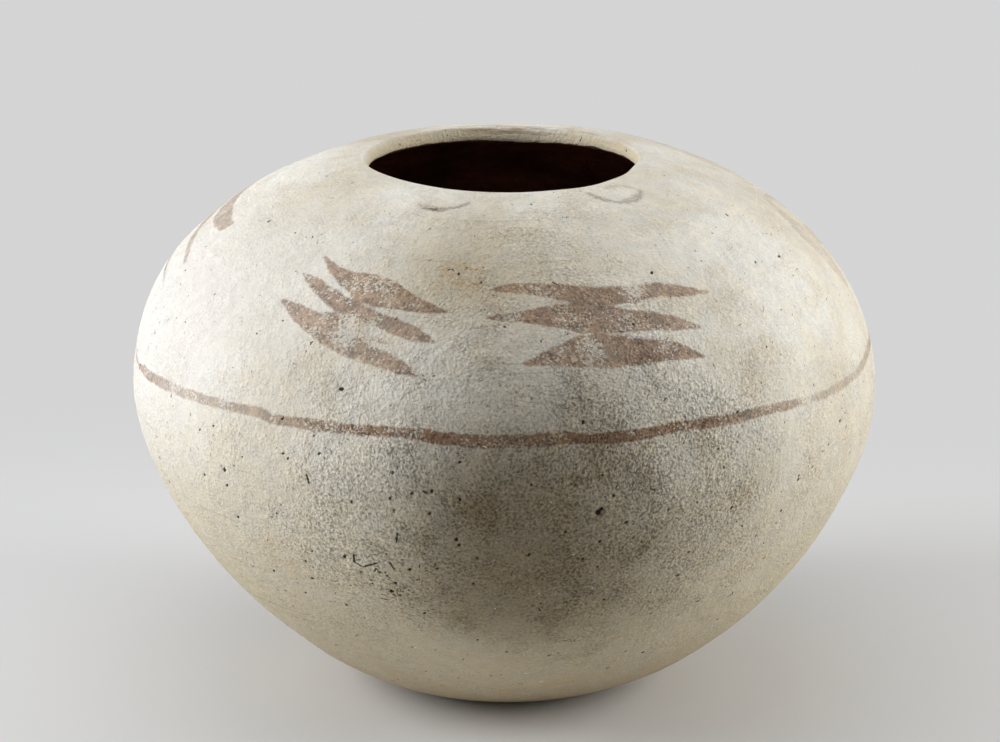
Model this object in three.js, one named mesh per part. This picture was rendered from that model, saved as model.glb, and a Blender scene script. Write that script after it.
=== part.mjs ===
// A hand-built seed jar: a squat, globular pot with a small, inward-turned mouth and no neck.
// It is made as its potter made it. A flat pat of clay, turned up at its edge, is the base, and
// rings of clay are stacked on it, one on another, up to the rim. Each ring laps down inside the
// one below it, where thumb and scraper pressed the joint shut. Firing then made them one vessel.
// Millimetres, +Z up. The origin is the centre of the resting face, and the front faces -Y.

import * as THREE from 'three';

// Sizes that drive the jar
const jarHeight = 215;          // resting face to the crest of the lip
const widestRadius = 150;       // outside, at the swell of the belly
const widestHeight = 124;       // level of the swell
const mouthRadius = 55.5;       // crest of the lip
const restingRadius = 44;       // flat that the jar stands on
const wallThickness = 6.5;
const floorThickness = 8;

// Fullness of the outside line, each the length of a handle of its two curves
const baseFlare = 56;           // how far the low wall runs out before it turns up
const baseFlareAngle = 13;      // degrees above level, at the edge of the resting face
const bellyBelow = 42;          // how far the belly stays upright below the swell
const bellyAbove = 65;          // and above it
const shoulderFlat = 20;        // how far the shoulder lies level outside the mouth

// Building up the wall
const patReach = 41.5;          // how far the base pat turns up, along the outside of the wall
const ringCount = 11;           // rings of clay above it, each about 25 mm high along the wall
const lapInside = 6;            // how much further down each ring reaches on the inside

// Hand work
const lipReach = 2.2;           // how far the rounded lip reaches in past its crest
const axisLean = 2.4;           // how far the mouth stands to the left of the resting face

// Steps of the faceted surfaces
const roundSteps = 72;          // facets round the jar
const rowsPerRing = 2;
const rowsInPat = 4;
const lipSteps = 6;

const clayTones = {
  base: 0xa88c6a,               // bare tan clay of the base
  belly: 0xb3a68f,              // grey-buff slip, clouded by the fire
  shoulder: 0xc6baa2,           // cream slip
  rim: 0xa89478,                // worn and stained lip
};
const clayRoughness = 0.78;

// The outside line of the wall, from the edge of the resting face up to the crest of the lip
function makeWallLine() {
  const flare = THREE.MathUtils.degToRad(baseFlareAngle);
  const foot = new THREE.Vector2(restingRadius, 0);
  const swell = new THREE.Vector2(widestRadius, widestHeight);
  const crest = new THREE.Vector2(mouthRadius, jarHeight);
  const line = new THREE.CurvePath();
  line.add(new THREE.CubicBezierCurve(
    foot,
    new THREE.Vector2(baseFlare * Math.cos(flare), baseFlare * Math.sin(flare)).add(foot),
    new THREE.Vector2(0, -bellyBelow).add(swell),
    swell,
  ));
  line.add(new THREE.CubicBezierCurve(
    swell,
    new THREE.Vector2(0, bellyAbove).add(swell),
    new THREE.Vector2(shoulderFlat, 0).add(crest),
    crest,
  ));
  return line;
}

const wallLine = makeWallLine();
const wallLength = wallLine.getLength();

// A point of the outside, by its distance along the wall from the edge of the resting face
function outsideAt(distance) {
  return wallLine.getPoint(distance / wallLength);
}

// The point of the inside straight through the wall from it, or on the floor where that is higher
function insideAt(distance) {
  const along = wallLine.getTangent(distance / wallLength);
  const inward = new THREE.Vector2(-along.y, along.x).multiplyScalar(wallThickness);
  const point = outsideAt(distance).add(inward);
  point.y = Math.max(point.y, floorThickness);
  return point;
}

// Evenly spaced points of one face of the wall, both ends included
function rowPoints(faceAt, from, to, rows) {
  const points = [];
  for (let row = 0; row <= rows; row++) {
    points.push(faceAt(THREE.MathUtils.lerp(from, to, row / rows)));
  }
  return points;
}

// The rounded lip, from just past its crest to just short of the underside
function lipPoints() {
  const halfWall = wallThickness / 2;
  const points = [];
  for (let step = 1; step < lipSteps; step++) {
    const turn = Math.PI * step / lipSteps;
    const x = mouthRadius - lipReach * Math.sin(turn);
    const y = jarHeight - halfWall + halfWall * Math.cos(turn);
    points.push(new THREE.Vector2(x, y));
  }
  return points;
}

// Sideways shift of the wall at a height: none at the resting face, most at the mouth
function leanAt(height) {
  const rise = Math.sin(Math.PI / 2 * height / jarHeight);
  return -axisLean * rise * rise;
}

// Turns a closed profile round the jar, stands it up and leans it
function turnClay(profile) {
  const geometry = new THREE.LatheGeometry(profile, roundSteps);
  geometry.rotateX(Math.PI / 2);
  const place = geometry.getAttribute('position');
  for (let i = 0; i < place.count; i++) {
    place.setX(i, place.getX(i) + leanAt(place.getZ(i)));
  }
  geometry.computeVertexNormals();
  return geometry;
}

function clay(tone) {
  return new THREE.MeshStandardMaterial({ color: tone, roughness: clayRoughness, metalness: 0 });
}

function addPiece(jar, name, profile, tone) {
  const piece = new THREE.Mesh(turnClay(profile), clay(tone));
  piece.name = name;
  jar.add(piece);
}

// The base pat: a flat disc whose edge turns up into the first of the wall
function basePatProfile() {
  return [
    new THREE.Vector2(0, 0),
    ...rowPoints(outsideAt, 0, patReach, rowsInPat),
    ...rowPoints(insideAt, patReach - lapInside, 0, rowsInPat),
    new THREE.Vector2(0, floorThickness),
  ];
}

// A ring of the wall, closed by the sloping joint faces that it shares with its neighbours
function coilProfile(from, to) {
  const profile = [
    ...rowPoints(outsideAt, from, to, rowsPerRing),
    ...rowPoints(insideAt, to - lapInside, from - lapInside, rowsPerRing),
  ];
  profile.push(profile[0].clone());
  return profile;
}

// The last ring, which ends in the lip instead of a joint
function rimProfile(from) {
  const profile = [
    ...rowPoints(outsideAt, from, wallLength, rowsPerRing),
    ...lipPoints(),
    ...rowPoints(insideAt, wallLength, from - lapInside, rowsPerRing),
  ];
  profile.push(profile[0].clone());
  return profile;
}

const ringHeight = (wallLength - patReach) / ringCount;

function coilTone(height) {
  return height < widestHeight ? clayTones.belly : clayTones.shoulder;
}

const jar = new THREE.Group();
jar.name = 'seed_jar';

addPiece(jar, 'base_pat', basePatProfile(), clayTones.base);

for (let i = 1; i < ringCount; i++) {
  const from = patReach + (i - 1) * ringHeight;
  const name = 'wall_coil_' + String(i).padStart(2, '0');
  addPiece(jar, name, coilProfile(from, from + ringHeight), coilTone(outsideAt(from).y));
}

addPiece(jar, 'rim_coil', rimProfile(wallLength - ringHeight), clayTones.rim);

export default jar;
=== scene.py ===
# A hand-coiled seed jar: cream slip over fired clay, with worn red-brown painted strokes.
# Metres, +Z up, the front faces -Y. Azimuths are in degrees, 0 at the front and rising
# towards +X. A place on the wall is an azimuth and a height, or else a distance along the
# outside, from the edge of the resting face up to the crest of the lip.

import math
import random

import bmesh
import bpy
import numpy as np
from mathutils import Matrix, Vector


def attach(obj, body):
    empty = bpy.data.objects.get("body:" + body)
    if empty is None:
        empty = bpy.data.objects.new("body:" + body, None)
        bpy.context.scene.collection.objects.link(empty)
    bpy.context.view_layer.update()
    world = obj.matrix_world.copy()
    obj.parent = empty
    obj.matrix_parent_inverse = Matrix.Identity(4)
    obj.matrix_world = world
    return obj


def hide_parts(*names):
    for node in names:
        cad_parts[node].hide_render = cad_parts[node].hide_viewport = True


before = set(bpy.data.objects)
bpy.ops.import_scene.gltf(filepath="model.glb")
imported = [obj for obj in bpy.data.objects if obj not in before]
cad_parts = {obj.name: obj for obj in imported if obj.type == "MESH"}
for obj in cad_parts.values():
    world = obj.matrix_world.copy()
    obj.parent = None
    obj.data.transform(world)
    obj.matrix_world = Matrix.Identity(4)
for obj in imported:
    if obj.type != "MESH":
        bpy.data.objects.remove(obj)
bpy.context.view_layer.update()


# The wall

jarShape = {
    "height": 0.215,          # resting face to the crest of the lip
    "widest": 0.150,          # outside radius at the swell
    "widestAt": 0.124,
    "mouth": 0.0555,          # radius of the lip's crest
    "foot": 0.044,            # radius of the resting face
    "wall": 0.0065,
    "floor": 0.008,
    "baseFlare": 0.056,       # handles of the outline's two curves
    "baseFlareAngle": 13,
    "bellyBelow": 0.042,
    "bellyAbove": 0.065,
    "shoulderFlat": 0.020,
    "patReach": 0.0415,       # height of the base pat along the wall
    "rings": 11,
    "lap": 0.006,             # how much further down a ring reaches inside
    "lipReach": 0.0022,
    "lean": 0.0024,           # how far the mouth stands to the left
    "sectors": 16,            # equal parts of the turn, each with its facets
    "facetsPerSector": 54,
    "outsideStep": 0.0009,    # between rows
    "insideStep": 0.003,
    "discRings": 14,
    "lipSteps": 24,
    "lipDroop": 0.32,         # 0 for a round nose, more to hang its inner edge down
    "lipArc": 0.0088,         # round the nose of the lip
}


def curvePoints(start, startHandle, endHandle, end, count=1500):
    t = np.linspace(0, 1, count)[:, None]
    corners = [np.array(p) for p in (start, startHandle, endHandle, end)]
    weights = [(1 - t) ** 3, 3 * t * (1 - t) ** 2, 3 * t * t * (1 - t), t ** 3]
    return sum(w * p for w, p in zip(weights, corners))


def outlineOf(jar):
    flare = math.radians(jar["baseFlareAngle"])
    footX, wideX, mouthX = jar["foot"], jar["widest"], jar["mouth"]
    low = curvePoints(
        (footX, 0),
        (footX + jar["baseFlare"] * math.cos(flare), jar["baseFlare"] * math.sin(flare)),
        (wideX, jar["widestAt"] - jar["bellyBelow"]),
        (wideX, jar["widestAt"]),
    )
    high = curvePoints(
        (wideX, jar["widestAt"]),
        (wideX, jar["widestAt"] + jar["bellyAbove"]),
        (mouthX + jar["shoulderFlat"], jar["height"]),
        (mouthX, jar["height"]),
    )
    line = np.concatenate([low, high[1:]])
    steps = np.diff(line, axis=0)
    lengths = np.hypot(steps[:, 0], steps[:, 1])
    along = np.concatenate([[0], np.cumsum(lengths)])
    slope = np.gradient(line, along, axis=0)
    slope /= np.linalg.norm(slope, axis=1)[:, None]
    return along, line, slope


wallAlong, wallLine, wallSlope = outlineOf(jarShape)
wallLength = float(wallAlong[-1])
ringHeight = (wallLength - jarShape["patReach"]) / jarShape["rings"]


def onWall(along, table):
    return np.stack([np.interp(along, wallAlong, table[:, i]) for i in (0, 1)], axis=-1)


def alongAt(height):
    # distance along the outside at a height above the resting face
    return float(np.interp(height, wallLine[:, 1], wallAlong))


def outsidePoint(along):
    return onWall(along, wallLine)


def insidePoint(along):
    slope = onWall(along, wallSlope)
    inward = np.array([-slope[1], slope[0]])
    point = outsidePoint(along) + inward * jarShape["wall"]
    point[1] = max(point[1], jarShape["floor"])
    return point


def wallPlace(azimuth, height):
    # a point on the outside as built, before the lean
    radius = outsidePoint(alongAt(height))[0]
    turn = math.radians(azimuth)
    return np.array([radius * math.sin(turn), -radius * math.cos(turn), height])


# Hand work: what the potter's hands and time did to the turned shape

handWork = {
    "outsideSwells": [(0.085, 0.00030, 3), (0.034, 0.00011, 4)],   # wavelength, height, seed
    "insideSwells": [(0.050, 0.00035, 5), (0.018, 0.00018, 6)],
    "scrape": {"long": 0.034, "short": 0.0052, "height": 0.00003, "seed": 7},
    "crossingWaves": 14,
    "lipSway": 0.0004,
    "calmAtLip": 0.7,             # share of the swells smoothed away by the lip
    "calmReach": 0.050,           # and how far down the wall that starts
    "wanderReach": 0.020,         # how far down the wall the lip's wander is felt
    "fadeIn": (0.004, 0.030),     # the resting face stays true
}

# bulges and dents of the whole wall: azimuth, height, radius and how far out
wallDents = [
    (176, 0.2095, 0.031, -0.00095), (-90, 0.177, 0.020, 0.0010), (90, 0.177, 0.020, -0.0010),
    (-84, 0.078, 0.030, 0.0013), (130, 0.070, 0.040, 0.0008), (-150, 0.150, 0.045, 0.0007),
]

# how far the lip stands out from a true round, and how far its nose is lifted, by azimuth
lipWander = [
    (-180, 0.0), (-150, 0.0008), (-120, 0.0016), (-92, 0.0012), (-72, 0.0), (-55, -0.0012),
    (-35, -0.0014), (-16, 0.0), (2, 0.0), (20, -0.0006), (38, 0.0019), (50, 0.0003),
    (62, 0.0), (75, -0.0015), (92, 0.0004), (125, 0.0018), (150, 0.0010), (180, 0.0),
]
noseLift = [
    (-180, 0.0002), (-150, 0.0005), (-120, 0.0008), (-90, 0.0009), (-60, 0.0003), (0, 0.0),
    (60, 0.0003), (95, 0.0009), (130, 0.0010), (152, 0.0005), (165, 0.0), (180, 0.0002),
]


def smoothStep(low, high, values):
    t = np.clip((values - low) / (high - low), 0, 1)
    return t * t * (3 - 2 * t)


def swellAt(points, wavelength, seed):
    # smooth random hills and hollows, about -2 to 2, from waves that cross
    dice = np.random.default_rng(seed)
    total = np.zeros(len(points))
    for _ in range(handWork["crossingWaves"]):
        heading = dice.normal(size=3)
        heading /= np.linalg.norm(heading)
        pace = math.tau / (wavelength * dice.uniform(0.7, 1.6))
        total += np.sin(points @ heading * pace + dice.uniform(0, math.tau))
    return total / math.sqrt(handWork["crossingWaves"] / 2)


def leanAt(height):
    rise = np.sin(np.pi / 2 * height / jarShape["height"])
    return -jarShape["lean"] * rise * rise


def roundLip(table, azimuth):
    # the listed shifts, softened over a few degrees
    places, shifts = zip(*table)
    turns = [(azimuth + step + 180) % 360 - 180 for step in (-6, -3, 0, 3, 6)]
    return sum(np.interp(turn, places, shifts) for turn in turns) / len(turns)


# Pits left by burnt-out and popped grains: azimuth, height, radius, depth

namedPits = [
    (13.7, 0.1122, 0.00145, 0.0024), (14.1, 0.1136, 0.0010, 0.0018),
    (-25.6, 0.1567, 0.0011, 0.0010), (11.7, 0.1480, 0.0010, 0.0007),
    (-13.8, 0.1203, 0.0009, 0.0010), (-10.7, 0.1218, 0.0009, 0.0010),
    (-6.7, 0.1190, 0.0008, 0.0009), (-11.3, 0.1124, 0.0008, 0.0008),
    (-11.9, 0.1025, 0.0008, 0.0009), (-7.5, 0.1018, 0.0010, 0.0011),
    (-4.7, 0.0934, 0.0009, 0.0011), (-15.5, 0.0864, 0.0010, 0.0011),
    (-18.4, 0.0793, 0.0009, 0.0010), (-19.5, 0.0747, 0.0012, 0.0013),
    (14.3, 0.1274, 0.0008, 0.0008), (18.5, 0.1230, 0.0007, 0.0008),
    (24.5, 0.1104, 0.0008, 0.0008), (8.8, 0.1050, 0.0008, 0.0007),
    (14.1, 0.0997, 0.0010, 0.0009), (11.7, 0.0924, 0.0008, 0.0009),
    (14.3, 0.0881, 0.0008, 0.0009), (3.4, 0.0952, 0.0009, 0.0007),
    (-5.3, 0.0815, 0.0007, 0.0008), (16.3, 0.0713, 0.0008, 0.0010),
    (-46.7, 0.1162, 0.0011, 0.0010), (-28.2, 0.1318, 0.0008, 0.0008),
    (-34.7, 0.1291, 0.0008, 0.0008), (-23.2, 0.1138, 0.0008, 0.0010),
    (-26.3, 0.0886, 0.0010, 0.0010), (-24.0, 0.0821, 0.0010, 0.0010),
    (-43.3, 0.0730, 0.0009, 0.0009), (-34.4, 0.0745, 0.0010, 0.0009),
    (-46.7, 0.1097, 0.0009, 0.0006), (-14.6, 0.0648, 0.0009, 0.0009),
]
scatteredPits = {
    "count": 430,                 # with the named ones
    "radius": (0.0004, 0.0010),
    "depth": 0.8,                 # of the radius
    "heights": (0.006, 0.205),
    "wornBelow": 0.13,            # where the slip has worn away
    "shareAbove": 0.35,           # of the pits that the worn part has
    "seed": 11,
}
pitReach = 2.5                    # radii from its middle to where a pit ends
pitFade = 1.4


def scatterPits(pits, settings):
    # more of them low on the belly, and more small ones than large
    dice = random.Random(settings["seed"])
    small, large = settings["radius"]
    found = list(pits)
    while len(found) < settings["count"]:
        azimuth = dice.uniform(-180, 180)
        height = dice.uniform(*settings["heights"])
        size = dice.uniform(0, 1) ** 3
        keep = dice.uniform(0, 1)
        wear = 1.0 if height < settings["wornBelow"] else settings["shareAbove"]
        ring = outsidePoint(alongAt(height))[0] / jarShape["widest"]
        if keep < wear * ring:
            radius = small + (large - small) * size
            found.append((azimuth, height, radius, radius * settings["depth"]))
    return found


allPits = scatterPits(namedPits, scatteredPits)
pitPlaces = np.array([wallPlace(a, h) for a, h, r, d in allPits])
pitRadii = np.array([r for a, h, r, d in allPits])
pitDepths = np.array([d for a, h, r, d in allPits])


def pitShape(points):
    # depth of the pits at each point, and how far into a pit it lies, 0 to 1
    depth = np.zeros(len(points))
    mask = np.zeros(len(points))
    for place, radius, deep in zip(pitPlaces, pitRadii, pitDepths):
        near = np.nonzero(np.abs(points[:, 2] - place[2]) < radius * pitReach)[0]
        if len(near) == 0:
            continue
        away = np.linalg.norm(points[near] - place, axis=1) / radius
        hollow = np.exp(-away ** 2 * pitFade)
        depth[near] = np.maximum(depth[near], deep * hollow)
        mask[near] = np.maximum(mask[near], hollow)
    return depth, mask


# The painting

# A stroke is a row of (azimuth, height in mm, half width in mm) and has a load of paint
leftGroup = [
    [(-40.5, 196.4, 0.8), (-36, 193.4, 2.3), (-31.5, 191.5, 4.5), (-27, 189.9, 7.2),
     (-23, 188.8, 6.9), (-18.5, 187, 4.6), (-14, 185.4, 2.5), (-10.3, 184.5, 0.8)],
    [(-42.5, 190.6, 0.7), (-38, 188.4, 2.9), (-34, 185.9, 3.6), (-30.5, 184.0, 3.9),
     (-26.5, 182.1, 3.8), (-23, 180.7, 3.4), (-19, 179.2, 3.5), (-15, 177, 3.0),
     (-11.5, 175.2, 0.9)],
    [(-42.8, 181.5, 0.7), (-38.8, 179.5, 3.2), (-34.5, 177.2, 4.6), (-30.2, 174.5, 5.6),
     (-26.2, 171.6, 5.0), (-23, 169.7, 4.0), (-19.2, 167.8, 3.3), (-16.2, 165.7, 2.5),
     (-13.6, 163.8, 0.7)],
    [(-32.5, 180.6, 0.7), (-29.0, 179.2, 2.6), (-25.5, 176.6, 3.4), (-22.0, 174.6, 1.8),
     (-19.5, 173.6, 0.6)],
]
rightGroup = [
    [(-2.3, 191.7, 0.8), (0.8, 191.9, 2.5), (5, 191.8, 3.2), (9.7, 190.7, 3.8),
     (14.5, 189.2, 4.4), (19, 188.3, 4.6), (24.5, 188, 4.3), (30, 188.2, 3.4),
     (35, 186.8, 2.7), (40, 185, 0.8)],
    [(-2.8, 183.1, 0.8), (0.7, 183.3, 1.9), (4.5, 183.4, 3.4), (8.5, 183.6, 5.1),
     (13, 182.5, 6.4), (18, 181.5, 6.3), (22.5, 180.3, 4.9), (27, 179.2, 4.1),
     (31, 177.3, 2.8), (35, 175.1, 0.8)],
    [(3.3, 168.7, 0.6), (6, 170, 2.3), (9, 171, 4.4), (12.5, 171.8, 6.4),
     (16.5, 171.8, 7.0), (20.8, 170.9, 6.3), (25, 170.2, 4.7), (29.5, 168.9, 3.5),
     (33.3, 165.9, 0.9)],
]
# the group at the left edge of the view, of which the right-hand tips show
edgeGroup = [
    [(-112, 198, 0.8), (-104, 196, 3.4), (-96, 194, 4.9), (-89, 192.7, 5.0),
     (-82.5, 192.2, 4.3), (-78.3, 192.5, 3.3), (-76.6, 193.6, 1.6)],
    [(-112, 192, 0.8), (-104, 190, 4.2), (-96, 187.2, 3.7), (-89, 184.4, 2.0),
     (-84.3, 181.8, 1.8), (-81, 180.0, 1.6), (-78.2, 178.0, 0.7)],
    [(-112, 182, 0.8), (-104, 179, 4.2), (-96, 175.4, 3.2), (-88, 171.2, 1.2), (-80.5, 167.8, 0.5)],
]
# the faint smear at the right edge of the view
smearGroup = [
    [(93, 197, 1), (89.5, 190, 7), (88, 184, 11.5), (88, 177, 12), (88, 170, 8), (87, 164, 1)],
    [(96, 196, 1.5), (104, 190, 6.0), (112, 184, 4.0), (118, 180, 0.9)],
    [(96, 180, 6.0), (106, 175, 4.5), (116, 170, 0.9)],
]

# where each group of strokes is painted round the shoulder: its turn in degrees from where
# it is drawn above, and its load of paint
paintedGroups = [
    (leftGroup, 0, 0.80), (rightGroup, 0, 0.82), (edgeGroup, 0, 0.62), (smearGroup, 0, 0.27),
    (rightGroup, 140, 0.75), (leftGroup, 224, 0.80),
]

bellyLine = {
    "height": 0.1421,
    # azimuth and half width
    "halfWidth": [
        (-180, 0.0022), (-95, 0.0018), (-86, 0.0007), (-80, 0.0008), (-74, 0.0021),
        (-40, 0.0022), (-37, 0.0018), (-34, 0.0021), (-12, 0.0024), (8, 0.0026),
        (12, 0.0019), (17, 0.0022), (45, 0.0021), (60, 0.0017), (90, 0.0020), (180, 0.0022),
    ],
    # azimuth and rise of the line above its height, where the brush strayed
    "wander": [
        (-180, 0.000), (-150, -0.001), (-120, 0.001), (-85, -0.0020), (-80, -0.0044),
        (-72, -0.0040), (-62, -0.0023), (-50, -0.0005), (-39, 0.0008), (-37, -0.0004),
        (-33, 0.0002), (-25, 0.0006), (-15, 0.0015), (-12.5, 0.0012), (-10, 0.0003),
        (-3, -0.0005), (4, 0.0), (8.7, 0.0008), (12.5, -0.0004), (20, -0.0004), (27, 0.0007),
        (34, 0.0), (45, 0.0), (58, -0.0022), (70, -0.0022), (80, 0.0), (110, 0.001),
        (150, 0.0), (180, 0.000),
    ],
    # azimuth and load of paint
    "load": [
        (-180, 0.8), (-120, 0.6), (-85, 0.7), (-72, 0.75), (-60, 0.6), (-48, 0.6),
        (-36, 0.75), (-22, 0.95), (-15, 0.8), (-10, 1.15), (8, 1.15), (20, 1.1), (30, 0.88),
        (48, 0.72), (53, 0.45), (60, 0.5), (70, 0.45), (80, 0.6), (120, 0.9), (180, 0.8),
    ],
}


def strokeDistance(points, stroke, turn):
    # signed distance to a stroke's edge, less than nothing inside it
    places = [wallPlace(azimuth + turn, height / 1000) for azimuth, height, half in stroke]
    halves = [half / 1000 for azimuth, height, half in stroke]
    nearest = np.full(len(points), 1.0)
    for i in range(len(stroke) - 1):
        start, line = places[i], places[i + 1] - places[i]
        t = np.clip((points - start) @ line / (line @ line), 0, 1)
        away = np.linalg.norm(points - start - t[:, None] * line, axis=1)
        half = halves[i] + (halves[i + 1] - halves[i]) * t
        nearest = np.minimum(nearest, away - half)
    return nearest


def flowTogether(a, b, reach=0.0014):
    # the nearer of two distances, with wet paint drawn together where both are near
    share = np.clip(0.5 + 0.5 * (b - a) / reach, 0, 1)
    return b + (a - b) * share - reach * share * (1 - share)


strokesAbove = 0.15    # rings that stay below this height have the line alone


def paintAt(points, along, azimuth):
    # signed distance to the nearest paint, and its load there
    height = bellyLine["height"] + np.interp(azimuth, *zip(*bellyLine["wander"]))
    line = np.interp(height, wallLine[:, 1], wallAlong)
    distance = np.abs(along - line) - np.interp(azimuth, *zip(*bellyLine["halfWidth"]))
    load = np.interp(azimuth, *zip(*bellyLine["load"]))
    if points[:, 2].max() < strokesAbove:
        return distance, load
    for group, turn, groupLoad in paintedGroups:
        groupDistance = np.full(len(points), 1.0)
        for stroke in group:
            groupDistance = flowTogether(groupDistance, strokeDistance(points, stroke, turn))
        load = np.where(groupDistance < distance, groupLoad, load)
        distance = np.minimum(distance, groupDistance)
    return distance, load


# Places where the finish changes: azimuth, height, radius and strength
stains = {
    "fireCloud": [(6, 0.098, 0.038, 0.64), (-6, 0.112, 0.034, 0.46), (-1, 0.074, 0.036, 0.50),
                  (4, 0.130, 0.038, 0.30), (17, 0.108, 0.044, 0.10), (14, 0.152, 0.040, 0.27),
                  (19, 0.072, 0.044, 0.28), (10, 0.112, 0.110, 0.25), (37, 0.122, 0.036, 0.24),
                  (150, 0.090, 0.060, 0.75), (168, 0.120, 0.080, 0.40), (-120, 0.060, 0.050, 0.45)],
    "veil": [(-13, 0.198, 0.042, 0.50), (4, 0.194, 0.038, 0.41), (-2, 0.164, 0.034, 0.11),
             (46, 0.180, 0.034, 0.14), (-131, 0.214, 0.030, 0.35),
             (172, 0.190, 0.050, 0.40), (70, 0.140, 0.040, 0.15)],
    "rough": [(12, 0.122, 0.050, 0.95), (-14, 0.112, 0.038, 0.75), (26, 0.116, 0.040, 0.70),
              (-23, 0.084, 0.030, 0.45), (12, 0.085, 0.034, 0.40), (6, 0.198, 0.045, 0.38),
              (150, 0.110, 0.060, 0.80), (-110, 0.100, 0.055, 0.60), (95, 0.080, 0.040, 0.50)],
    "chalk": [(-78, 0.158, 0.060, 0.85), (-54, 0.180, 0.045, 0.5), (160, 0.180, 0.030, 0.4)],
    "ochre": [(-9, 0.197, 0.012, 0.52), (-6, 0.191, 0.010, 0.52), (-13, 0.199, 0.008, 0.3),
              (-20, 0.1986, 0.006, 0.3), (-55, 0.207, 0.008, 0.22), (-40, 0.201, 0.007, 0.22),
              (-40, 0.087, 0.016, 0.3), (-30, 0.134, 0.010, 0.25), (8, 0.141, 0.008, 0.25),
              (-48, 0.152, 0.007, 0.35), (-38, 0.072, 0.012, 0.3), (-170, 0.150, 0.030, 0.5),
              (95, 0.165, 0.020, 0.4)],
    "wear": [(-27.5, 0.1745, 0.0060, 1.2), (-27.3, 0.1792, 0.0048, 1.3),
             (-23.2, 0.1765, 0.0050, 1.3),
             (-32.5, 0.1785, 0.0040, 0.6), (-39, 0.1800, 0.0040, 0.4), (9.1, 0.1722, 0.0050, 0.5),
             (14.5, 0.1735, 0.0050, 0.5), (25.0, 0.1891, 0.0028, 0.8), (2, 0.1930, 0.0050, 0.6),
             (1, 0.1836, 0.0045, 0.8), (12.2, 0.1690, 0.0035, 0.6), (-36.7, 0.1440, 0.0028, 0.9),
             (-17, 0.1440, 0.0030, 0.6), (-13.5, 0.1425, 0.0030, 0.7), (-60, 0.1405, 0.0060, 0.3),
             (53, 0.1410, 0.0060, 0.6), (4, 0.1430, 0.0200, 0.22)],
    "crackle": [(-20, 0.080, 0.013, 0.8), (-12, 0.088, 0.010, 0.7), (10, 0.073, 0.010, 0.6),
                (120, 0.080, 0.016, 0.8), (-140, 0.100, 0.014, 0.8), (60, 0.070, 0.010, 0.6)],
    "lipBrown": [(180, 0.214, 0.022, 1.0), (150, 0.214, 0.018, 0.5), (120, 0.213, 0.018, 0.5),
                 (-150, 0.213, 0.018, 0.4)],
}


def stainAt(points, blobs):
    strength = np.zeros(len(points))
    for azimuth, height, radius, most in blobs:
        away = np.linalg.norm(points - wallPlace(azimuth, height), axis=1) / radius
        strength = 1 - (1 - strength) * (1 - most * np.exp(-away ** 2))
    return strength


# Rings of clay

def spinProfile(rows):
    # rows of (radius, height, along, side), turned once round the jar into a closed skin
    bm = bmesh.new()
    alongLayer = bm.verts.layers.float.new("along")
    sideLayer = bm.verts.layers.float.new("side")
    verts = []
    for radius, height, along, side in rows:
        vert = bm.verts.new((0, -radius, height))
        vert[alongLayer] = along
        vert[sideLayer] = side
        verts.append(vert)
    closed = rows[0][0] > 0
    pairs = zip(verts, verts[1:] + verts[:1] if closed else verts[1:])
    edges = [bm.edges.new(pair) for pair in pairs]
    # one sector is spun, then doubled until it closes the round
    turn = math.tau / jarShape["sectors"]
    bmesh.ops.spin(bm, geom=verts + edges, cent=(0, 0, 0), axis=(0, 0, 1), dvec=(0, 0, 0),
                   angle=turn, steps=jarShape["facetsPerSector"], use_merge=False,
                   use_duplicate=False)
    while turn < math.tau * 0.99:
        copied = bmesh.ops.duplicate(bm, geom=bm.verts[:] + bm.edges[:] + bm.faces[:])["geom"]
        moved = [part for part in copied if isinstance(part, bmesh.types.BMVert)]
        bmesh.ops.rotate(bm, verts=moved, cent=(0, 0, 0), matrix=Matrix.Rotation(turn, 3, "Z"))
        turn *= 2
    bmesh.ops.remove_doubles(bm, verts=bm.verts[:], dist=1e-6)
    bmesh.ops.recalc_face_normals(bm, faces=bm.faces[:])
    return bm


def wallRows(low, high, inside):
    step = jarShape["insideStep"] if inside else jarShape["outsideStep"]
    count = max(2, round(abs(high - low) / step))
    pointAt = insidePoint if inside else outsidePoint
    rows = []
    for along in np.linspace(low, high, count + 1):
        point = pointAt(along)
        rows.append((point[0], point[1], along, float(inside)))
    return rows


def lipRows():
    half = jarShape["wall"] / 2
    rows = []
    droop = jarShape["lipDroop"]
    for step in range(1, jarShape["lipSteps"]):
        side = step / jarShape["lipSteps"]
        hang = side * (1 - droop) + side ** 4 * droop
        radius = jarShape["mouth"] - jarShape["lipReach"] * math.sin(math.pi * hang)
        height = jarShape["height"] - half + half * math.cos(math.pi * side)
        rows.append((radius, height, wallLength, side))
    return rows


def discRows(radius, height, side):
    # from the axis out to, but not at, the radius
    count = jarShape["discRings"]
    return [(radius * i / count, height, 0.0, side) for i in range(count)]


def basePatRows():
    lap, reach = jarShape["lap"], jarShape["patReach"]
    inner = wallRows(reach - lap, 0, True)
    edge = inner[-1][0]
    return (discRows(jarShape["foot"], 0, 0.0) + wallRows(0, reach, False) + inner
            + discRows(edge, jarShape["floor"], 1.0)[::-1])


def ringRows(low, high):
    lap = jarShape["lap"]
    return wallRows(low, high, False) + wallRows(high - lap, low - lap, True)


def rimRows(low):
    lap = jarShape["lap"]
    return (wallRows(low, wallLength, False) + lipRows()
            + wallRows(wallLength, low - lap, True))


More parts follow.
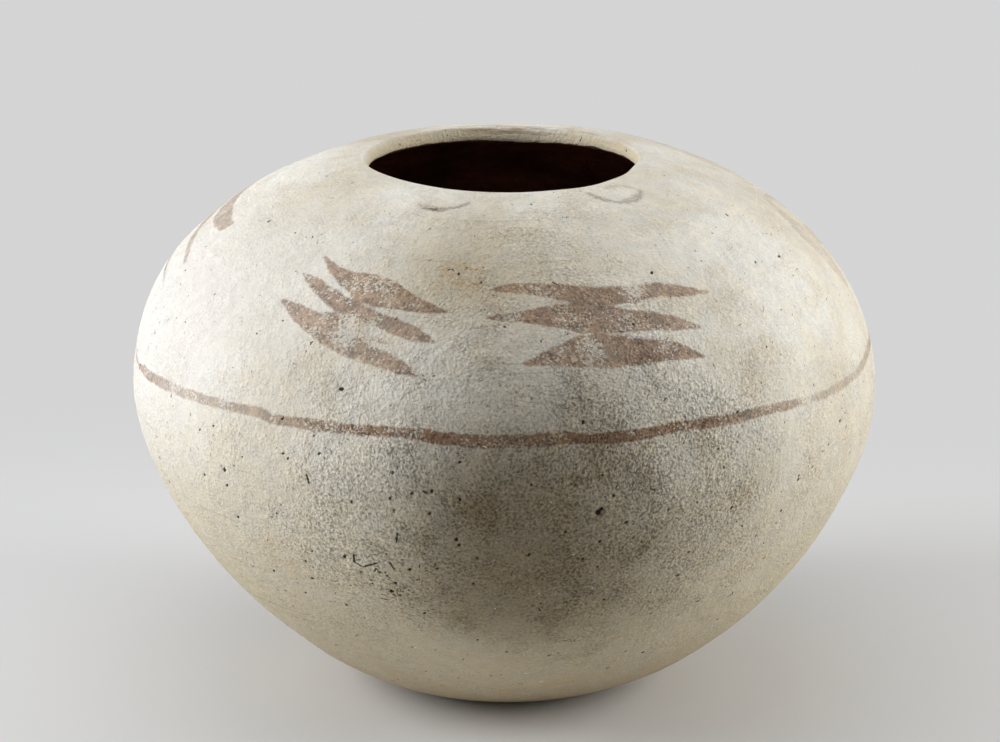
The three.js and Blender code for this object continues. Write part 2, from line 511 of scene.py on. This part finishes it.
def shapeByHand(points, along, side):
    # moves the turned points as the potter's hands did
    azimuth = np.degrees(np.arctan2(points[:, 0], -points[:, 1]))
    outside = 1 - side
    slope = onWall(along, wallSlope)
    turn = np.pi * side
    facing = np.stack([slope[:, 1], -slope[:, 0]], axis=1)
    out = facing * np.cos(turn)[:, None] + slope * np.sin(turn)[:, None]
    offset = np.zeros(len(points))
    for wave, height, seed in handWork["outsideSwells"]:
        offset += outside * height * swellAt(points, wave, seed)
    for wave, height, seed in handWork["insideSwells"]:
        offset += side * height * swellAt(points, wave, seed)
    scrape = handWork["scrape"]
    streaks = np.stack([points[:, 0] / scrape["long"], points[:, 1] / scrape["long"],
                        along / scrape["short"]], axis=1)
    offset += outside * scrape["height"] * swellAt(streaks, 1.0, scrape["seed"])
    depth, pits = pitShape(points)
    offset *= 1 - handWork["calmAtLip"] * smoothStep(
        wallLength - handWork["calmReach"], wallLength, along)
    offset = (offset - outside * depth) * smoothStep(*handWork["fadeIn"], along)
    heading = np.stack([np.sin(np.radians(azimuth)), -np.cos(np.radians(azimuth))], axis=1)
    nearLip = smoothStep(wallLength - handWork["wanderReach"], wallLength, along)
    dent = np.zeros(len(points))
    for middle, height, radius, push in wallDents:
        away = np.linalg.norm(points - wallPlace(middle, height), axis=1) / radius
        dent += push * np.exp(-away ** 2)
    drift = out[:, 0] * offset + facing[:, 0] * dent + nearLip * roundLip(lipWander, azimuth)
    shaped = points.copy()
    shaped[:, :2] += heading * drift[:, None]
    shaped[:, 2] += out[:, 1] * offset + facing[:, 1] * dent
    sway = np.sin(np.radians(azimuth) * 3 + 0.6) + 0.6 * np.sin(np.radians(azimuth) * 7)
    shaped[:, 2] -= nearLip * handWork["lipSway"] * (0.6 + 0.4 * sway)
    shaped[:, 2] += np.sin(turn) * roundLip(noseLift, azimuth)
    shaped[:, 0] += leanAt(points[:, 2])
    return shaped, azimuth, pits * outside


def addAttribute(mesh, name, values):
    layer = mesh.attributes.new(name, "FLOAT", "POINT")
    layer.data.foreach_set("value", values.astype(np.float32))


def readAttribute(mesh, name):
    values = np.empty(len(mesh.vertices), dtype=np.float32)
    mesh.attributes[name].data.foreach_get("value", values)
    return values.astype(float)


paintReach = 0.02      # distances to the paint are kept up to this far
creaseAngle = 50       # sharper edges than this aren't shaded smooth


def makePiece(name, node, rows, material):
    bm = spinProfile(rows)
    mesh = bpy.data.meshes.new(name)
    bm.to_mesh(mesh)
    bm.free()
    points = np.empty(len(mesh.vertices) * 3)
    mesh.vertices.foreach_get("co", points)
    points = points.reshape(-1, 3)
    along, side = readAttribute(mesh, "along"), readAttribute(mesh, "side")
    shaped, azimuth, pits = shapeByHand(points, along, side)
    mesh.vertices.foreach_set("co", shaped.ravel())

    # how far along the skin, from the resting face over the lip and down the inside
    run = along + side * (jarShape["lipArc"] + 2 * (wallLength - along))
    addAttribute(mesh, "run", run)
    distance, load = paintAt(points, along, azimuth)
    distance = np.where(side > 0, paintReach, distance)
    # in millimetres
    addAttribute(mesh, "paintEdge", np.clip(distance, -paintReach, paintReach) * 1000)
    addAttribute(mesh, "paintLoad", load)
    addAttribute(mesh, "pit", pits)
    for stain, blobs in stains.items():
        addAttribute(mesh, stain, stainAt(points, blobs))

    mesh.polygons.foreach_set("use_smooth", np.ones(len(mesh.polygons), dtype=bool))
    mesh.set_sharp_from_angle(angle=math.radians(creaseAngle))
    mesh.materials.append(material)
    piece = bpy.data.objects.new(name, mesh)
    bpy.context.scene.collection.objects.link(piece)
    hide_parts(node)
    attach(piece, "root")
    return piece


# Finishes

def linear(hexColour):
    channels = [int(hexColour[i:i + 2], 16) / 255 for i in (1, 3, 5)]
    curve = [c / 12.92 if c <= 0.04045 else ((c + 0.055) / 1.055) ** 2.4 for c in channels]
    return (*curve, 1.0)


class NodeBench:
    # short ways to lay and link the nodes of one material

    def __init__(self, material):
        material.use_nodes = True
        self.tree = material.node_tree
        self.tree.nodes.clear()

    def plug(self, socket, value):
        if isinstance(value, bpy.types.NodeSocket):
            self.tree.links.new(value, socket)
        else:
            socket.default_value = value

    def add(self, kind, inputs=(), **settings):
        newNode = self.tree.nodes.new(kind)
        for key, value in settings.items():
            setattr(newNode, key, value)
        for key, value in dict(inputs).items():
            self.plug(newNode.inputs[key], value)
        return newNode

    def attribute(self, name):
        return self.add("ShaderNodeAttribute", attribute_name=name).outputs["Fac"]

    def math(self, operation, a, b=0.0):
        return self.add("ShaderNodeMath", {0: a, 1: b}, operation=operation).outputs[0]

    def vector(self, operation, a, b=(0, 0, 0)):
        made = self.add("ShaderNodeVectorMath", {0: a, 1: b}, operation=operation)
        return made.outputs["Value" if operation in ("DOT_PRODUCT", "LENGTH") else "Vector"]

    def ramp(self, value, low, high, start=0.0, end=1.0):
        made = self.add("ShaderNodeMapRange", {"Value": value, "From Min": low, "From Max": high,
                                               "To Min": start, "To Max": end},
                        interpolation_type="SMOOTHSTEP")
        return made.outputs["Result"]

    def noise(self, vector, scale, detail=2.0, roughness=0.5):
        made = self.add("ShaderNodeTexNoise", {"Vector": vector, "Scale": scale,
                                               "Detail": detail, "Roughness": roughness})
        return made.outputs["Fac"]

    def mix(self, factor, a, b, blend="MIX"):
        made = self.add("ShaderNodeMix", data_type="RGBA", blend_type=blend)
        for index, value in ((0, factor), (6, a), (7, b)):
            self.plug(made.inputs[index], value)
        return made.outputs[2]

    def shade(self, colour, amount):
        # darkens or lightens a colour by a grey value
        grey = self.add("ShaderNodeCombineColor", {0: amount, 1: amount, 2: amount}).outputs[0]
        return self.mix(1.0, colour, grey, "MULTIPLY")


slipFinish = {
    "cream": "#ebe9e3",
    "chalk": "#dedbd7",
    "greyBuff": "#d6cfc1",
    "warmBuff": "#d3c6b1",
    "bellyGrey": "#c2b79d",
    "baseTan": "#bcaa8c",
    "veil": "#a5977a",
    "fireCloud": "#71654c",
    "scorch": "#766348",
    "ochre": "#ae9268",
    "warmTint": "#fffcf5",
    "coolTint": "#fbfbfa",
    "paintTint": "#c4a48e",        # what a full load of paint lets through
    "paintBody": "#6f5746",
    "paintDirt": "#483629",
    "innerClay": "#a8735a",
    "innerSoot": "#5e3f31",
    # painted shade inside the pits, cracks, opened joints and slits
    "pit": "#1d1712",
    "grain": "#eee9de",
    "lipStain": "#856640",
    "lipFace": "#c7b68f",
    "mark": "#5f503d",
    "roughness": 0.76,
    "grit": 0.0012,                # heights of the relief, in metres
    "coarseGrit": 0.0011,
    "mottleHeight": 0.0007,
}

# Thin dark marks pressed in by the rim: centre and radius of the arc, the way it faces, its
# reach to either side in degrees and how dark it is
rimMarks = [
    {"centre": (-0.0241, -0.0573), "radius": 0.0122, "faces": -116, "reach": 38, "dark": 1.0},
    {"centre": (-0.0241, -0.0573), "radius": 0.0117, "faces": -98, "reach": 64, "dark": 0.55},
    {"centre": (-0.0241, -0.0573), "radius": 0.0106, "faces": -126, "reach": 30, "dark": 0.7},
    {"centre": (0.0401, -0.0474), "radius": 0.0115, "faces": -66, "reach": 88, "dark": 0.48},
    {"centre": (0.0401, -0.0474), "radius": 0.0100, "faces": -40, "reach": 44, "dark": 0.42},
    {"centre": (0.0465, -0.0543), "radius": 0.0110, "faces": 107, "reach": 46, "dark": 0.3},
]

markFloor = 0.205      # the marks are drawn only above this height

# Coil joints that opened a little: number of rings below, azimuths of the ends
openJoints = [(2, 6, 15), (3, 2, 13), (2, 118, 132), (4, -158, -140)]

# Short cracks: azimuth of each bend and its distance along the wall, the last over the lip
slits = [
    [(-24.4, 0.1377), (-24.6, 0.1340), (-23.2, 0.1319), (-20.3, 0.1355)],
    [(-18.4, 0.1362), (-17.9, 0.1331)],
    [(-21.6, 0.1151), (-20.2, 0.1146)],
    [(-30.6, 0.1707), (-30.3, 0.1678)],
    [(-16.5, 0.1503), (-16.8, 0.1465)],
    [(145.0, wallLength + 0.0041), (145.8, wallLength + 0.0056)],
]
slitWidth = 0.0002
slitHeight = 0.1       # where the lean is taken off before the wall is unrolled

# Noise that the layers share: scale, detail and roughness
patterns = {
    "clouds": (14, 3, 0.55),
    "patches": (52, 4, 0.6),
    "mottle": (190, 4, 0.65),
    "coarseGrit": (430, 2, 0.6),
    "grit": (930, 2, 0.55),
}
streakPatterns = {"streaks": (55, 3, 0.6), "fineStreaks": (240, 2, 0.6)}
streakPull = 9.0       # how much shorter the streaks are up the wall than round it

# The cells of the dots and cracks are shaken out of shape, up to half this far
shakeScale = 420
shakeReach = 0.004

# Dots, one in some cells of a pattern: scale, radius within the cell and colour channel
dots = {"tiny": (620, 0.30, 0), "small": (300, 0.22, 1), "grain": (560, 0.26, 2)}
grainShare = 0.016

# How much painted shade darkens each kind of hole
holeShade = {"tiny": 0.62, "small": 0.9, "pits": 0.93, "cracks": 0.9, "joints": 0.75, "slits": 0.93}

# How far each layer stands out from the skin, in metres
layerHeight = {
    "fineStreaks": 0.00012, "tiny": -0.0003, "small": -0.0006, "pits": -0.0008, "grain": 0.00012,
    "cracks": -0.0005, "joints": -0.0004, "slits": -0.0006, "marks": -0.0002,
}


def rimMarkMask(bench, skin, ragged):
    parts = bench.add("ShaderNodeSeparateXYZ", {0: skin["place"]}).outputs
    patchy = bench.ramp(skin["mottle"], 0.30, 0.50, 0.4, 1.0)
    wander = bench.ramp(skin["mottle"], 0.25, 0.75, -0.0009, 0.0009)
    mask = 0.0
    for mark in rimMarks:
        away = bench.add("ShaderNodeCombineXYZ", {
            0: bench.math("SUBTRACT", parts[0], mark["centre"][0]),
            1: bench.math("SUBTRACT", parts[1], mark["centre"][1])}).outputs[0]
        length = bench.vector("LENGTH", away)
        length = bench.math("ADD", length, wander)
        offLine = bench.math("ABSOLUTE", bench.math("SUBTRACT", length, mark["radius"]))
        line = bench.ramp(bench.math("ADD", offLine, ragged), 0.0015, 0.0004, 0, mark["dark"])
        smudge = bench.ramp(offLine, 0.0026, 0.0, 0, mark["dark"] * 0.45)
        turn = math.radians(mark["faces"])
        facing = bench.vector("DOT_PRODUCT", bench.vector("NORMALIZE", away),
                              (math.cos(turn), math.sin(turn), 0))
        least = math.cos(math.radians(mark["reach"]))
        arc = bench.math("MULTIPLY", bench.ramp(facing, least, least + 0.25), patchy)
        drawn = bench.math("MULTIPLY", bench.math("MAXIMUM", line, smudge), arc)
        mask = bench.math("MAXIMUM", drawn, mask)
    return bench.math("MULTIPLY", mask, bench.math("GREATER_THAN", parts[2], markFloor))


def openJointMask(bench, skin, ragged):
    drift = bench.ramp(skin["mottle"], 0.3, 0.7, -0.0012, 0.0012)
    strayed = bench.math("ADD", skin["run"], drift)
    level = bench.vector("NORMALIZE", bench.vector("MULTIPLY", skin["place"], (1, 1, 0)))
    mask = 0.0
    for ring, start, end in openJoints:
        joint = jarShape["patReach"] + ring * ringHeight
        offLine = bench.math("ABSOLUTE", bench.math("SUBTRACT", strayed, joint))
        line = bench.ramp(bench.math("ADD", offLine, ragged), 0.0004, 0.0)
        turn = math.radians((start + end) / 2)
        facing = bench.vector("DOT_PRODUCT", level, (math.sin(turn), -math.cos(turn), 0))
        least = math.cos(math.radians((end - start) / 2))
        arc = bench.ramp(facing, least, least + 0.002)
        mask = bench.math("MAXIMUM", bench.math("MULTIPLY", line, arc), mask)
    broken = bench.ramp(skin["coarseGrit"], 0.62, 0.42, 0.1, 1.0)
    return bench.math("MULTIPLY", mask, broken)


def slitMask(bench, skin, ragged):
    # the wall is unrolled to azimuth and distance along it, where each slit is a line
    parts = bench.add("ShaderNodeSeparateXYZ", {0: skin["place"]}).outputs
    upright = bench.math("SUBTRACT", parts[0], leanAt(slitHeight))
    turned = bench.math("ARCTAN2", upright, bench.math("MULTIPLY", parts[1], -1.0))
    unrolled = bench.add("ShaderNodeCombineXYZ", {0: turned, 1: skin["run"]}).outputs[0]
    nearest = 1.0
    for slit in slits:
        radius = outsidePoint(slit[0][1])[0]
        scaled = bench.vector("MULTIPLY", unrolled, (radius, 1, 0))
        bends = [Vector((math.radians(azimuth) * radius, run, 0)) for azimuth, run in slit]
        for start, end in zip(bends, bends[1:]):
            line = end - start
            away = bench.vector("SUBTRACT", scaled, start)
            share = bench.vector("DOT_PRODUCT", away, line / line.length_squared)
            share = bench.math("MAXIMUM", bench.math("MINIMUM", share, 1.0), 0.0)
            along = bench.add("ShaderNodeVectorMath", {0: line, "Scale": share},
                              operation="SCALE").outputs[0]
            distance = bench.vector("LENGTH", bench.vector("SUBTRACT", away, along))
            nearest = bench.math("MINIMUM", distance, nearest)
    return bench.ramp(bench.math("ADD", nearest, ragged), slitWidth * 2.2, slitWidth)


def surveySkin(bench):
    # the patterns that the layers of the finish share
    place = bench.add("ShaderNodeTexCoord").outputs["Object"]
    run = bench.attribute("run")
    # rubbing went round the jar, so its streaks are long sideways and short up the wall
    parts = bench.add("ShaderNodeSeparateXYZ", {0: place}).outputs
    streakPlace = bench.add("ShaderNodeCombineXYZ", {
        0: parts[0], 1: parts[1], 2: bench.math("MULTIPLY", run, streakPull)}).outputs[0]
    shake = bench.add("ShaderNodeTexNoise", {"Vector": place, "Scale": shakeScale, "Detail": 1.0})
    shake = bench.vector("SUBTRACT", shake.outputs["Color"], (0.5, 0.5, 0.5))
    shake = bench.vector("MULTIPLY", shake, (shakeReach, shakeReach, shakeReach))
    skin = {
        "place": place,
        "run": run,
        "stirred": bench.vector("ADD", place, shake),
    }
    for name, look in patterns.items():
        skin[name] = bench.noise(place, *look)
    for name, look in streakPatterns.items():
        skin[name] = bench.noise(streakPlace, *look)
    # the slip is roughest round the front of the belly and smooth on the shoulder
    worn = bench.math("ADD", bench.attribute("rough"), bench.ramp(run, 0.27, 0.17, 0.27, 0.38))
    skin["rough"] = bench.math("MULTIPLY", worn, bench.ramp(skin["patches"], 0.36, 0.62, 0.6, 1.1))
    return skin


def layBlend(bench, colour, value, low, high, most, shade):
    # mixes a shade in, by a ramp of a value up to a share
    return bench.mix(bench.ramp(value, low, high, 0, most), colour, linear(shade))


def slipColour(bench, skin, settings):
    # slip, thinner and greyer down the belly, gone tan near the base
    clouds, patches, run = skin["clouds"], skin["patches"], skin["run"]
    colour = bench.mix(bench.ramp(clouds, 0.35, 0.68), linear(settings["cream"]),
                       linear(settings["greyBuff"]))
    colour = layBlend(bench, colour, patches, 0.5, 0.78, 0.4, settings["warmBuff"])
    veil = bench.math("ADD", bench.attribute("veil"), bench.ramp(patches, 0.25, 0.75, -0.05, 0.05))
    colour = layBlend(bench, colour, veil, 0.0, 1.0, 1.0, settings["veil"])
    belly = bench.math("ADD", run, bench.ramp(clouds, 0.3, 0.7, -0.03, 0.03))
    colour = layBlend(bench, colour, belly, 0.215, 0.095, 0.85, settings["bellyGrey"])
    base = bench.math("ADD", run, bench.ramp(patches, 0.3, 0.7, -0.02, 0.02))
    colour = layBlend(bench, colour, base, 0.085, 0.02, 0.7, settings["baseTan"])
    cloud = bench.math("ADD", bench.attribute("fireCloud"),
                       bench.ramp(patches, 0.25, 0.75, -0.06, 0.06))
    colour = layBlend(bench, colour, cloud, 0.0, 1.0, 0.94, settings["fireCloud"])
    scorch = bench.math("MULTIPLY", cloud, bench.ramp(skin["patches"], 0.50, 0.68))
    colour = layBlend(bench, colour, scorch, 0.1, 0.9, 0.42, settings["scorch"])
    ochre = bench.math("ADD", bench.attribute("ochre"),
                       bench.ramp(skin["mottle"], 0.3, 0.7, -0.3, 0.3))
    colour = layBlend(bench, colour, ochre, 0.15, 1.2, 0.7, settings["ochre"])
    warmth = bench.ramp(bench.noise(skin["place"], 85, 3, 0.6), 0.36, 0.64)
    tinted = bench.mix(warmth, linear(settings["coolTint"]), linear(settings["warmTint"]))
    colour = bench.mix(1.0, colour, tinted, "MULTIPLY")
    colour = layBlend(bench, colour, bench.attribute("chalk"), 0.0, 1.0, 0.9, settings["chalk"])
    colour = bench.shade(colour, bench.ramp(skin["mottle"], 0.3, 0.7, 0.94, 1.05))
    colour = bench.shade(colour, bench.ramp(skin["fineStreaks"], 0.3, 0.7, 0.965, 1.035))

    # painted shade in the hollows of the rough patches, and painted highlight on the raised grit
    hollow = bench.math("MULTIPLY", bench.ramp(skin["grit"], 0.50, 0.34), skin["rough"])
    colour = bench.shade(colour, bench.ramp(hollow, 0, 1, 1.0, 0.54))
    highlightOnRaisedGrit = bench.math("MULTIPLY", bench.ramp(skin["grit"], 0.51, 0.66), skin["rough"])
    return bench.shade(colour, bench.ramp(highlightOnRaisedGrit, 0, 1, 1.0, 1.38))


def paintedColour(bench, skin, colour, settings):
    # the paint soaked in, is ragged at its edge and was rubbed off the high grit
    place = skin["place"]
    fine = bench.ramp(bench.noise(place, 420, 4, 0.7), 0.3, 0.7, -0.32, 0.32)
    broad = bench.ramp(bench.noise(place, 90, 2, 0.5), 0.3, 0.7, -0.3, 0.3)
    edge = bench.math("ADD", bench.math("ADD", bench.attribute("paintEdge"), fine), broad)
    mask = bench.ramp(edge, 0.5, -0.7)
    wear = bench.math("ADD", bench.attribute("wear"),
                      bench.ramp(bench.noise(place, 75, 2, 0.5), 0.40, 0.66, -0.25, 0.42))
    rub = bench.math("ADD", bench.noise(place, 900, 3, 0.75), bench.math("MULTIPLY", wear, 0.17))
    mask = bench.math("MULTIPLY", mask, bench.ramp(rub, 0.55, 0.64, 1.0, 0.16))
    load = bench.math("MULTIPLY", bench.attribute("paintLoad"),
                      bench.ramp(skin["clouds"], 0.3, 0.7, 1.1, 0.85))
    mask = bench.math("MULTIPLY", mask, load)
    soaked = bench.mix(1.0, colour, linear(settings["paintTint"]), "MULTIPLY")
    soaked = layBlend(bench, soaked, skin["mottle"], 0.64, 0.36, 0.75, settings["paintBody"])
    soaked = layBlend(bench, soaked, skin["coarseGrit"], 0.50, 0.32, 0.75, settings["paintDirt"])
    return bench.mix(mask, colour, soaked)


def specks(bench, skin, kind, share):
    # one dot in a share of the cells
    scale, size, channel = dots[kind]
    cells = bench.add("ShaderNodeTexVoronoi", {"Vector": skin["stirred"], "Scale": scale})
    pick = bench.add("ShaderNodeSeparateColor", {0: cells.outputs["Color"]})
    chosen = bench.math("LESS_THAN", pick.outputs[channel], share)
    dot = bench.ramp(cells.outputs["Distance"], size, size * 0.5)
    return bench.math("MULTIPLY", chosen, dot)


def holeMasks(bench, skin):
    # pits where grains fell out, cracks and opened joints, each from 0 to 1
    share = bench.math("ADD", bench.math("MULTIPLY", skin["rough"], 0.14), 0.005)
    cracks = bench.add("ShaderNodeTexVoronoi", {"Vector": skin["stirred"], "Scale": 150},
                       feature="DISTANCE_TO_EDGE").outputs["Distance"]
    broken = bench.math("MULTIPLY", bench.attribute("crackle"),
                        bench.ramp(bench.noise(skin["place"], 260, 1), 0.53, 0.60))
    ragged = bench.ramp(skin["grit"], 0.3, 0.7, -0.0003, 0.0004)
    pits = bench.math("ADD", bench.attribute("pit"),
                      bench.ramp(skin["coarseGrit"], 0.3, 0.7, -0.1, 0.1))
    return {
        "tiny": specks(bench, skin, "tiny", share),
        "small": specks(bench, skin, "small", bench.math("MULTIPLY", share, 0.35)),
        "pits": bench.ramp(pits, 0.36, 0.56),
        "cracks": bench.math("MULTIPLY", bench.ramp(cracks, 0.045, 0.02),
                             bench.ramp(broken, 0.25, 0.6)),
        "joints": openJointMask(bench, skin, ragged),
        "slits": slitMask(bench, skin, bench.ramp(skin["coarseGrit"], 0.3, 0.7, -0.0002, 0.0003)),
    }


def lipAndInside(bench, skin, colour, settings):
    # the slip ends just past the lip, and the bare clay inside is dark with soot, with painted
    # shade just under the lip
    inward = bench.math("SUBTRACT", skin["run"], wallLength)
    inward = bench.math("ADD", inward, bench.ramp(skin["patches"], 0.3, 0.7, -0.0006, 0.0006))
    brown = bench.math("MULTIPLY", bench.attribute("lipBrown"),
                       bench.ramp(skin["streaks"], 0.42, 0.60))
    brown = bench.math("MULTIPLY", brown, bench.ramp(inward, -0.004, 0.0005))
    brown = bench.math("MULTIPLY", brown, bench.ramp(inward, 0.0050, 0.0032, 0.25, 1.0))
    face = bench.ramp(inward, 0.0, 0.005, 0, 0.62)
    colour = bench.mix(face, colour, linear(settings["lipFace"]))
    colour = bench.mix(bench.math("MULTIPLY", brown, 0.85), colour, linear(settings["lipStain"]))
    inside = bench.mix(bench.ramp(skin["clouds"], 0.36, 0.62), linear(settings["innerClay"]),
                       linear(settings["innerSoot"]))
    inside = bench.shade(inside, bench.ramp(skin["mottle"], 0.3, 0.7, 0.8, 1.15))
    # painted shade: the clay is darkest just under the lip, where shade falls inside the mouth
    inside = bench.shade(inside, bench.ramp(inward, 0.010, 0.025, 0.4, 1.0))
    return bench.mix(bench.ramp(inward, 0.0066, 0.0071), colour, inside)


def finishSlip(settings):
    material = bpy.data.materials.new("slipped_clay")
    bench = NodeBench(material)
    skin = surveySkin(bench)
    colour = slipColour(bench, skin, settings)
    colour = paintedColour(bench, skin, colour, settings)
    holes = holeMasks(bench, skin)
    grains = specks(bench, skin, "grain", grainShare)
    marks = rimMarkMask(bench, skin, bench.ramp(skin["grit"], 0.3, 0.7, -0.0003, 0.0005))
    colour = bench.mix(bench.math("MULTIPLY", grains, 0.8), colour, linear(settings["grain"]))
    colour = bench.mix(marks, colour, linear(settings["mark"]))
    colour = lipAndInside(bench, skin, colour, settings)
    # painted shade: each kind of hole is coloured near-black, as the shade inside it
    dark = 0.0
    for name, depth in holeShade.items():
        dark = bench.math("MAXIMUM", bench.math("MULTIPLY", holes[name], depth), dark)
    colour = bench.mix(dark, colour, linear(settings["pit"]))

    height = bench.math("MULTIPLY", skin["grit"], settings["grit"])
    height = bench.math("ADD", height,
                        bench.math("MULTIPLY", skin["coarseGrit"], settings["coarseGrit"]))
    height = bench.math("MULTIPLY", height, skin["rough"])
    height = bench.math("ADD", height,
                        bench.math("MULTIPLY", skin["mottle"], settings["mottleHeight"]))
    layers = {**skin, **holes, "grain": grains, "marks": marks}
    for name, amount in layerHeight.items():
        height = bench.math("ADD", height, bench.math("MULTIPLY", layers[name], amount))
    bump = bench.add("ShaderNodeBump", {"Height": height, "Strength": 1.0, "Distance": 1.0})
    gloss = bench.ramp(skin["mottle"], 0.3, 0.7, settings["roughness"] - 0.06,
                       settings["roughness"] + 0.12)
    shader = bench.add("ShaderNodeBsdfPrincipled", {
        "Base Color": colour, "Roughness": gloss, "Normal": bump.outputs[0],
        "Specular IOR Level": 0.25})
    bench.add("ShaderNodeOutputMaterial", {"Surface": shader.outputs[0]})
    return material


print("Finishing the clay")
slippedClay = finishSlip(slipFinish)

print("Building up the wall")
makePiece("base_pat_fired", "base_pat", basePatRows(), slippedClay)
for i in range(1, jarShape["rings"]):
    low = jarShape["patReach"] + (i - 1) * ringHeight
    makePiece(f"wall_coil_{i:02d}_fired", f"wall_coil_{i:02d}", ringRows(low, low + ringHeight),
              slippedClay)
makePiece("rim_coil_fired", "rim_coil", rimRows(wallLength - ringHeight), slippedClay)


# Studio

studio = {
    "floor": "#d9d9da",
    "floorShade": "#c9c9cc",
    "floorSize": 6.0,
    "litFloor": (0.16, 0.46),     # the floor's own shading gives way to the backdrop here
    "backdrop": 0.66,             # 1 is white
    "world": 0.24,
    "lamps": [
        {"name": "left_softbox", "place": (-1.25, -0.05, 0.65), "aim": (0, 0, 0.12),
         "size": (0.6, 0.8), "watts": 17.2, "colour": (0.98, 0.99, 1.0)},
        {"name": "right_softbox", "place": (1.35, -0.05, 0.62), "aim": (0, 0, 0.12),
         "size": (0.6, 0.8), "watts": 14.6, "colour": (1.0, 0.99, 0.96)},
        {"name": "top_softbox", "place": (0, 0.1, 1.5), "aim": (0, 0, 0.1),
         "size": (1.2, 1.2), "watts": 4.4, "colour": (1.0, 1.0, 1.0)},
    ],
}


def seenDirectly(bench):
    # 1 where the eye, a reflection or a clear surface looks straight at it
    path = bench.add("ShaderNodeLightPath").outputs
    seen = bench.math("MAXIMUM", path["Is Camera Ray"], path["Is Glossy Ray"])
    return bench.math("MAXIMUM", seen, path["Is Transmission Ray"])


def addFloor(settings):
    bm = bmesh.new()
    bmesh.ops.create_grid(bm, x_segments=1, y_segments=1, size=settings["floorSize"] / 2)
    mesh = bpy.data.meshes.new("studio_floor")
    bm.to_mesh(mesh)
    bm.free()
    floor = bpy.data.objects.new("studio_floor", mesh)
    bpy.context.scene.collection.objects.link(floor)
    material = bpy.data.materials.new("studio_floor")
    bench = NodeBench(material)
    place = bench.add("ShaderNodeTexCoord").outputs["Object"]
    tone = bench.ramp(bench.noise(place, 2, 2), 0.3, 0.7, 0.0, 0.02)
    colour = bench.mix(tone, linear(settings["floor"]), linear(settings["floorShade"]))
    lit = bench.add("ShaderNodeBsdfPrincipled", {"Base Color": colour, "Roughness": 0.6})
    plain = bench.add("ShaderNodeEmission", {"Strength": settings["backdrop"]})
    away = bench.ramp(bench.vector("LENGTH", place), *settings["litFloor"])
    share = bench.math("MULTIPLY", away, seenDirectly(bench))
    mixed = bench.add("ShaderNodeMixShader", {0: share, 1: lit.outputs[0], 2: plain.outputs[0]})
    bench.add("ShaderNodeOutputMaterial", {"Surface": mixed.outputs[0]})
    mesh.materials.append(material)


def addSoftbox(settings):
    light = bpy.data.lights.new(settings["name"], "AREA")
    light.shape = "RECTANGLE"
    light.size, light.size_y = settings["size"]
    light.energy = settings["watts"]
    light.color = settings["colour"]
    lamp = bpy.data.objects.new(settings["name"], light)
    lamp.location = settings["place"]
    throw = Vector(settings["aim"]) - Vector(settings["place"])
    lamp.rotation_euler = throw.to_track_quat("-Z", "Y").to_euler()
    bpy.context.scene.collection.objects.link(lamp)


def addWorld(settings):
    world = bpy.data.worlds.new("studio")
    bpy.context.scene.world = world
    bench = NodeBench(world)
    strength = bench.ramp(seenDirectly(bench), 0, 1, settings["world"], settings["backdrop"])
    back = bench.add("ShaderNodeBackground", {"Color": (1, 1, 1, 1), "Strength": strength})
    bench.add("ShaderNodeOutputWorld", {"Surface": back.outputs[0]})


cameraView = {
    "distance": 2.0,
    "downTilt": 16.4,      # degrees
    "aim": (-0.0036, 0, 0.1259),
    "lens": 177.4,         # millimetres, as is the sensor
    "sensor": 36,
    "seesTo": 50,
}


def addCamera(settings):
    data = bpy.data.cameras.new("camera")
    data.lens = settings["lens"]
    data.sensor_width = settings["sensor"]
    data.clip_end = settings["seesTo"]
    camera = bpy.data.objects.new("camera", data)
    tilt = math.radians(settings["downTilt"])
    aim = Vector(settings["aim"])
    camera.location = aim + settings["distance"] * Vector((0, -math.cos(tilt), math.sin(tilt)))
    camera.rotation_euler = (math.pi / 2 - tilt, 0, 0)
    bpy.context.scene.collection.objects.link(camera)
    bpy.context.scene.camera = camera


print("Setting up the studio")
addFloor(studio)
for lampSettings in studio["lamps"]:
    addSoftbox(lampSettings)
addWorld(studio)
addCamera(cameraView)
bpy.context.scene.view_settings.view_transform = "Standard"
